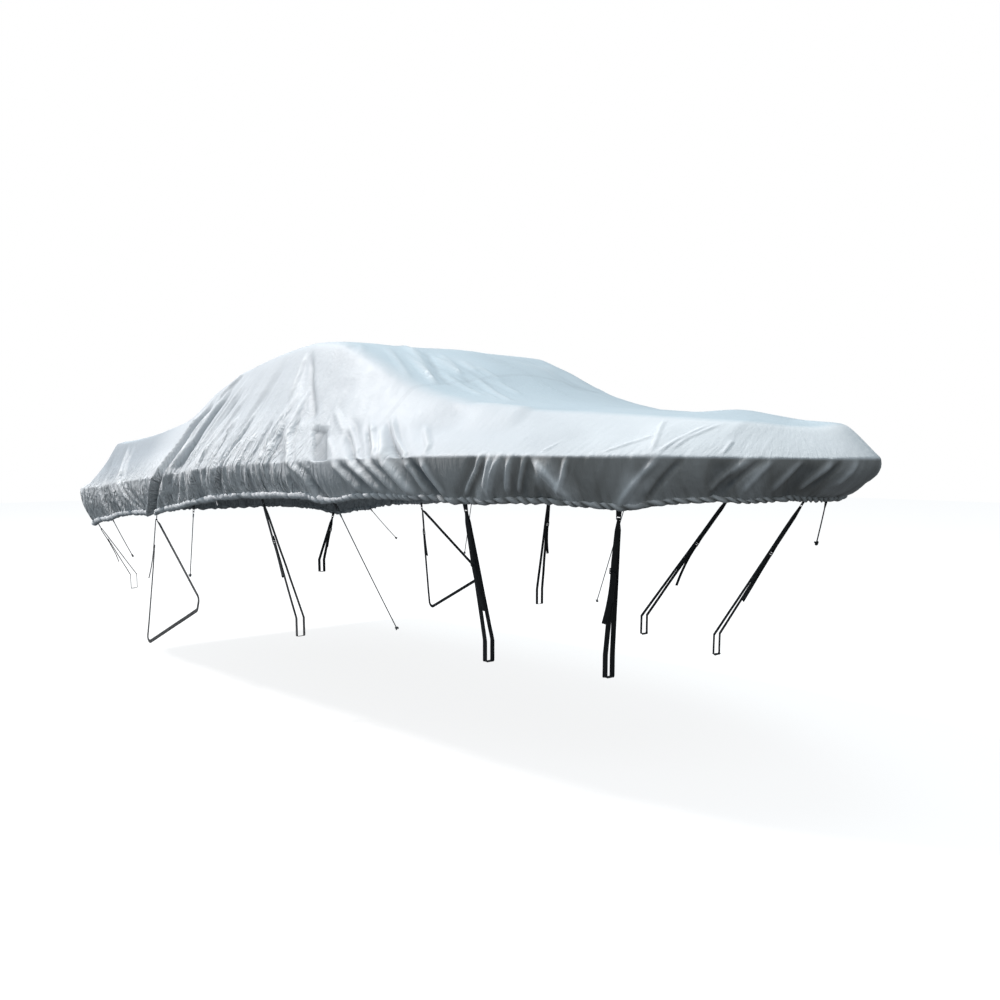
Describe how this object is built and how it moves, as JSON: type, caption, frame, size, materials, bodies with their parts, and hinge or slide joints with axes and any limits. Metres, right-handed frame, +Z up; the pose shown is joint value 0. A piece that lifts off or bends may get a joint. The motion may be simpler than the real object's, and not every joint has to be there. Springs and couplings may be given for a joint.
{
  "type": "boat cover",
  "caption": "Fitted silver-grey boat cover draped over a runabout with a windshield, with a gathered elastic hem, webbing tie-down straps with buckles, hem tabs and thin cords.",
  "frame": {"origin": "underside of the cloth at its highest place, on the middle line over the windshield frame", "axes": "+X toward the bow, +Y to port, +Z up"},
  "size_m": [6.125, 2.478, 1.9447],
  "materials": {
    "cloth": "satin coated polyester",
    "webbing": "black woven webbing",
    "buckle": "black moulded plastic",
    "cord": "grey braided cord",
    "dark_cord": "dark braided cord",
    "hook": "bright plated wire"
  },
  "bodies": {
    "root": {"cover_aft": "cloth", "cover_fore": "cloth", "tab_stern_starboard": "webbing", "strap_stern_starboard": "webbing", "buckle_stern_starboard": "buckle", "tab_stern_port": "webbing", "strap_stern_port": "webbing", "buckle_stern_port": "buckle", "tab_quarter_starboard": "webbing", "cord_quarter_starboard": "dark_cord", "tab_quarter_port": "webbing", "cord_quarter_port": "dark_cord", "tab_axle_starboard": "webbing", "strap_axle_starboard": "webbing", "buckle_axle_starboard": "buckle", "tab_axle_port": "webbing", "strap_axle_port": "webbing", "buckle_axle_port": "buckle", "tab_cockpit_starboard": "webbing", "hook_cockpit_starboard": "hook", "cord_cockpit_starboard": "cord", "tab_cockpit_port": "webbing", "hook_cockpit_port": "hook", "cord_cockpit_port": "cord", "tab_middle_starboard": "webbing", "strap_middle_starboard": "webbing", "buckle_middle_starboard": "buckle", "tab_middle_port": "webbing", "strap_middle_port": "webbing", "buckle_middle_port": "buckle", "tab_console_starboard": "webbing", "hook_console_starboard": "hook", "cord_console_starboard": "cord", "tab_console_port": "webbing", "hook_console_port": "hook", "cord_console_port": "cord", "tab_foredeck_starboard": "webbing", "strap_foredeck_starboard": "webbing", "buckle_foredeck_starboard": "buckle", "tab_foredeck_port": "webbing", "strap_foredeck_port": "webbing", "buckle_foredeck_port": "buckle", "tab_bow_starboard": "webbing", "strap_bow_starboard": "webbing", "buckle_bow_starboard": "buckle", "tab_bow_port": "webbing", "strap_bow_port": "webbing", "buckle_bow_port": "buckle", "tab_stem": "webbing", "cord_stem": "dark_cord"}
  },
  "joints": []
}
